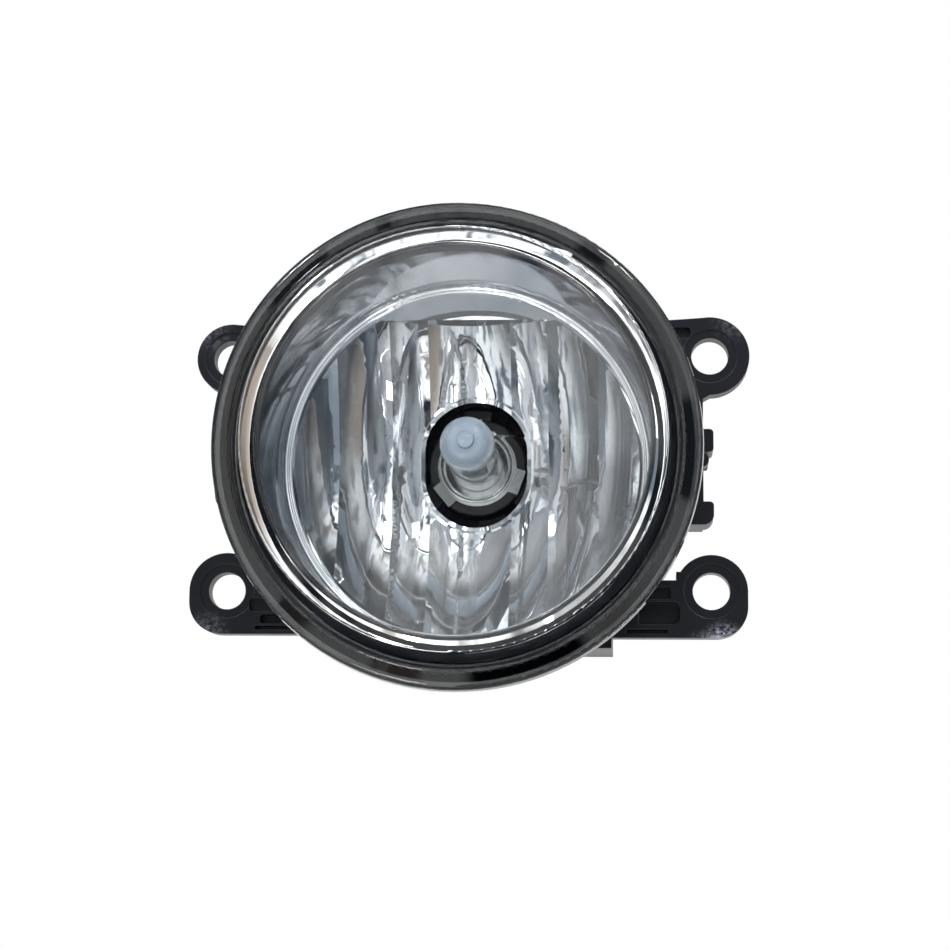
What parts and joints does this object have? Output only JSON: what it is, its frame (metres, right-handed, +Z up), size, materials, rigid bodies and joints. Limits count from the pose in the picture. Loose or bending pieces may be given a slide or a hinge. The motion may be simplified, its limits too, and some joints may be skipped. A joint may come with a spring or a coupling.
{
  "type": "fog light",
  "caption": "Round car fog light with a clear glass lens, fluted reflector and bayonet bulb, pivoting in a moulded carrier with screw ears and a hand-turned aiming screw.",
  "frame": {"origin": "centre of the four ear holes, in the plane of the ears' front faces", "axes": "-Y points ahead out of the lens, along the ear screws; +Z up as fitted in the bumper; +X to the right seen from the front"},
  "size_m": [0.1091, 0.0845, 0.09],
  "materials": {
    "black_nylon": "moulded black glass-filled nylon, fine grain",
    "natural_nylon": "natural off-white nylon, slightly translucent",
    "spring_steel": "thin spring steel with an oiled finish",
    "clear_glass": "clear pressed glass, polished",
    "black_adhesive": "black silicone adhesive",
    "bright_coating": "vacuum-metallised mirror coating under clear lacquer",
    "zinc_steel": "zinc-plated steel screws",
    "black_housing": "moulded black plastic, satin",
    "soft_rubber": "soft black rubber",
    "grey_foam": "open-cell foam plug",
    "quartz_glass": "clear quartz glass",
    "blue_grey_coat": "milky blue-grey opaque coat baked on the glass",
    "tungsten": "drawn tungsten wire",
    "lead_wire": "molybdenum wire and foil",
    "polished_steel": "polished stainless steel sleeve",
    "satin_steel": "bright rolled steel sheet",
    "base_nylon": "black heat-resistant plastic",
    "seal_rubber": "brown-red silicone rubber ring",
    "tinned_brass": "tin-plated brass strip"
  },
  "bodies": {
    "bracket": {"bracket": "black_nylon", "pivot_bush_left": "natural_nylon", "pivot_bush_right": "natural_nylon"},
    "lamp": {"lens": "clear_glass", "lens_adhesive": "black_adhesive", "reflector": "bright_coating", "reflector_screws": "zinc_steel", "housing": "black_housing", "vent_cap": "soft_rubber", "vent_filter": "grey_foam"},
    "adjuster": {"adjuster_screw": "natural_nylon", "adjuster_clip": "spring_steel"},
    "nut": {"adjuster_nut": "natural_nylon"},
    "bulb": {"bulb_capsule": "quartz_glass", "bulb_tip_cap": "blue_grey_coat", "bulb_filament": "tungsten", "bulb_leads": "lead_wire", "bulb_foils": "lead_wire", "bulb_collar": "polished_steel", "bulb_plate": "satin_steel", "bulb_base": "base_nylon", "bulb_seal": "seal_rubber", "bulb_terminals": "tinned_brass"}
  },
  "joints": [
    {"name": "lamp_aim", "type": "hinge", "parent": "bracket", "child": "lamp", "pos_m": [0, 0.0065, -0.001], "axis": [1, 0, 0], "range_deg": [-4, 4]},
    {"name": "adjuster_turn", "type": "hinge", "parent": "bracket", "child": "adjuster", "pos_m": [0.0175, 0.022, -0.025], "axis": [0, -1, 0], "range_deg": [-403, 403]},
    {"name": "nut_travel", "type": "slide", "parent": "bracket", "child": "nut", "axis": [0, 1, 0], "range_m": [-0.0017, 0.0017]},
    {"name": "bulb_twist", "type": "hinge", "parent": "lamp", "child": "bulb", "pos_m": [0.001, 0.0179, 0.0028], "axis": [0, 1, 0], "range_deg": [0, 45]}
  ],
  "couplings": [
    {"joint": "adjuster_turn", "follows": "lamp_aim", "ratio": 100.53},
    {"joint": "nut_travel", "follows": "lamp_aim", "m_per_rad": 0.024}
  ]
}
